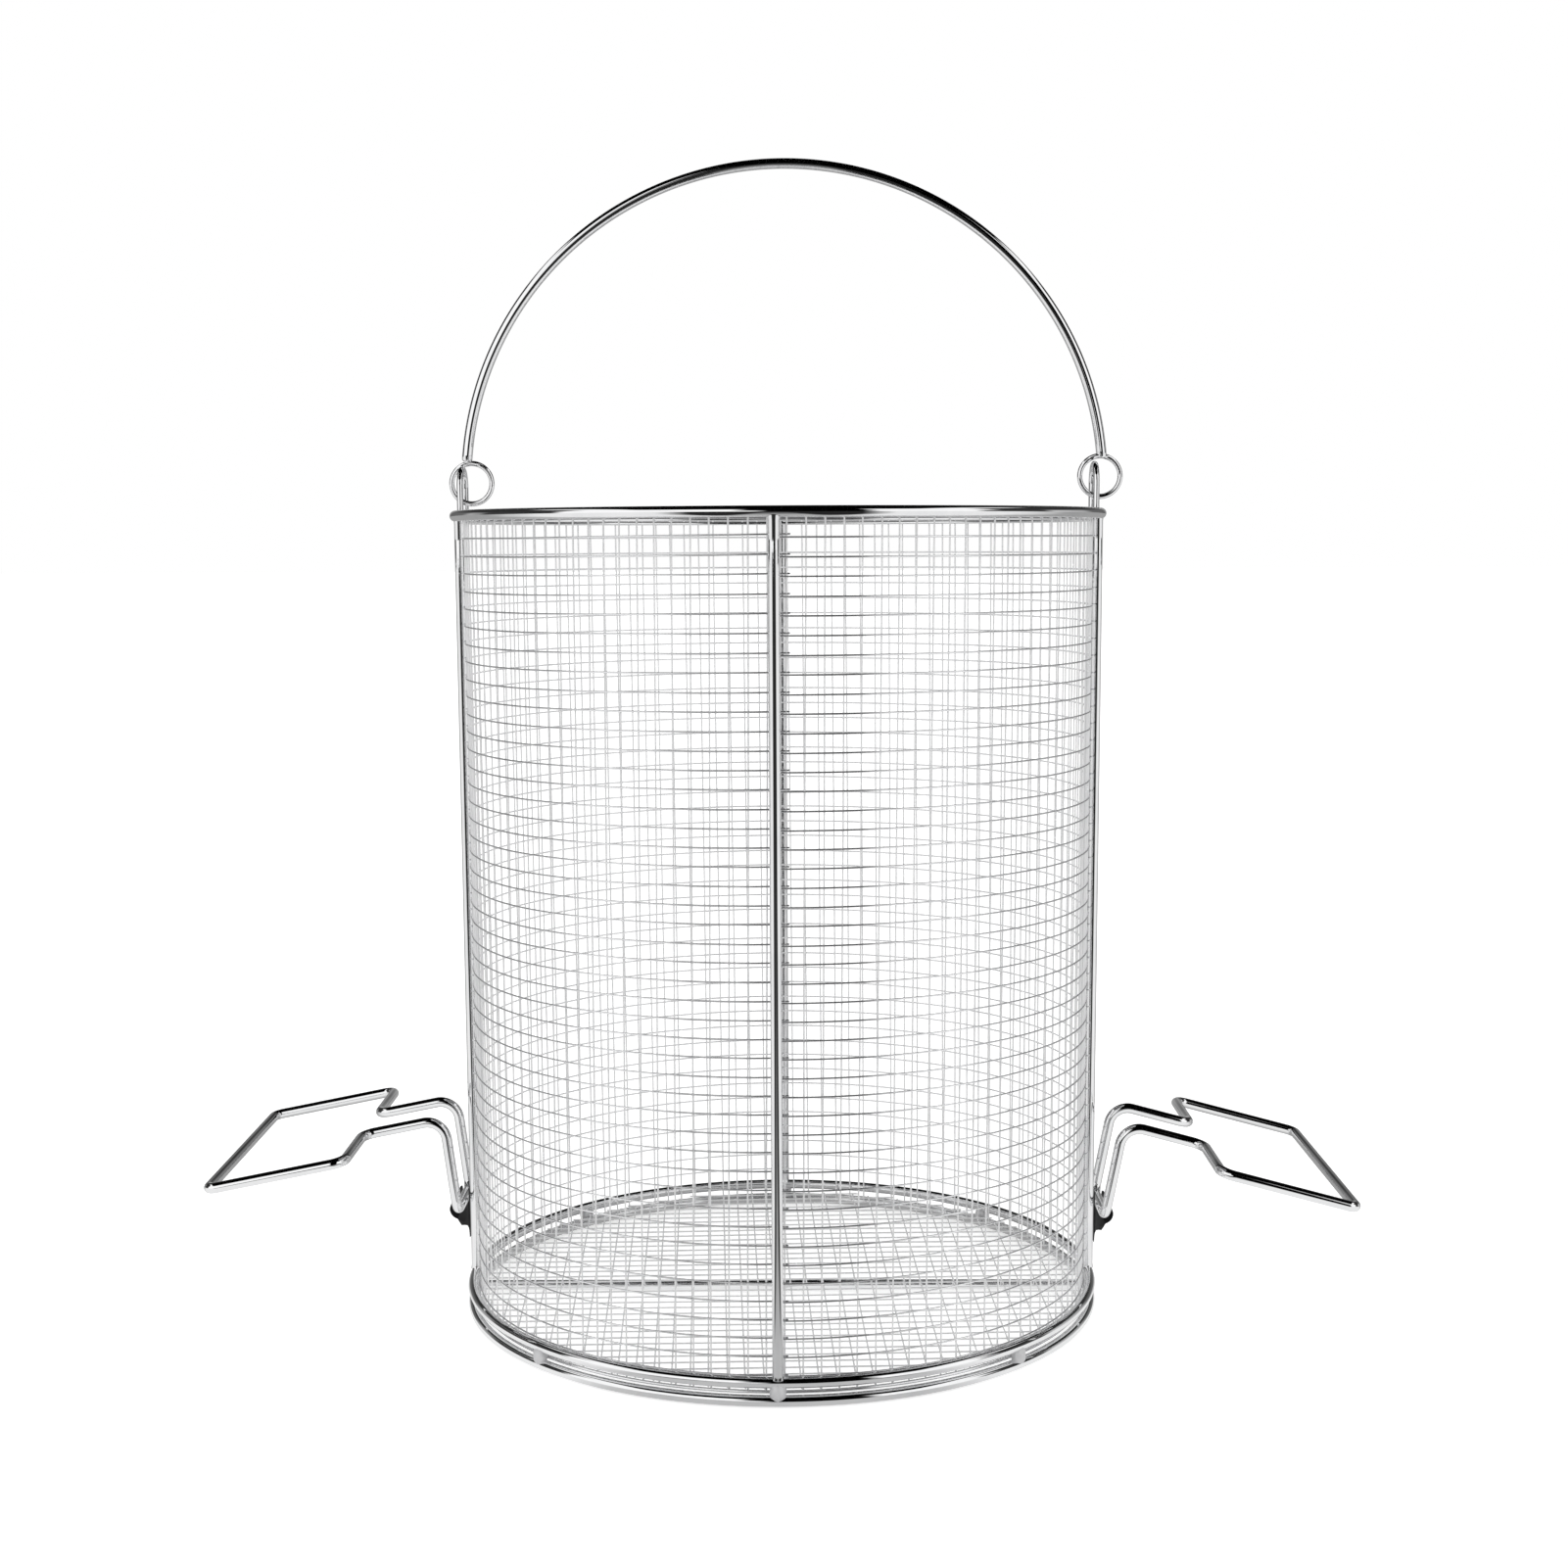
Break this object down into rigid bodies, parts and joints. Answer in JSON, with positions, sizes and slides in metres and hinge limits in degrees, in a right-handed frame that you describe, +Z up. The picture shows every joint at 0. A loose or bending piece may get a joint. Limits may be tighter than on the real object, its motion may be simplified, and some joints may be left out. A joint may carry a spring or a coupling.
{
  "type": "parts cleaning basket",
  "caption": "Round wire mesh basket on a rod frame, with a swinging bail handle and hinged side loops in hooks, for dipping small parts in a cleaning bath.",
  "frame": {"origin": "middle of the circle on which the foot ring stands, on the floor", "axes": "+Z up, +X to the basket's right along the floor crossbar and through both ears, +Y to the back"},
  "size_m": [0.4317, 0.2496, 0.4407],
  "materials": {
    "chrome_rod": "bright polished",
    "plated_mesh": "bright plated wire",
    "plated_weld": "satin plated weld",
    "black_coat": "satin black"
  },
  "bodies": {
    "basket": {"top_rim": "chrome_rod", "base_ring": "chrome_rod", "foot_ring": "chrome_rod", "ring_spacer_1": "plated_weld", "ring_spacer_2": "plated_weld", "ring_spacer_3": "plated_weld", "ring_spacer_4": "plated_weld", "ring_spacer_5": "plated_weld", "ring_spacer_6": "plated_weld", "ring_spacer_7": "plated_weld", "ring_spacer_8": "plated_weld", "front_strut": "chrome_rod", "right_strut": "chrome_rod", "back_strut": "chrome_rod", "left_strut": "chrome_rod", "floor_crossbar": "chrome_rod", "wall_mesh": "plated_mesh", "floor_mesh": "plated_mesh", "left_ear": "chrome_rod", "right_ear": "chrome_rod", "left_hook": "black_coat", "right_hook": "black_coat"},
    "bail": {"bail_rod": "chrome_rod", "left_bail_eye": "chrome_rod", "right_bail_eye": "chrome_rod"},
    "left_side_loop": {"left_side_loop": "chrome_rod"},
    "right_side_loop": {"right_side_loop": "chrome_rod"}
  },
  "joints": [
    {"name": "bail_swing", "type": "hinge", "parent": "basket", "child": "bail", "pos_m": [0, 0, 0.3118], "axis": [1, 0, 0], "range_deg": [-90, 90]},
    {"name": "right_side_loop_tilt", "type": "hinge", "parent": "basket", "child": "right_side_loop", "pos_m": [0.12686, 0, 0.0356], "axis": [0, -1, 0], "range_deg": [0, 11]},
    {"name": "left_side_loop_tilt", "type": "hinge", "parent": "basket", "child": "left_side_loop", "pos_m": [-0.12687, 0, 0.038], "axis": [0, 1, 0], "range_deg": [0, 6.7]}
  ]
}
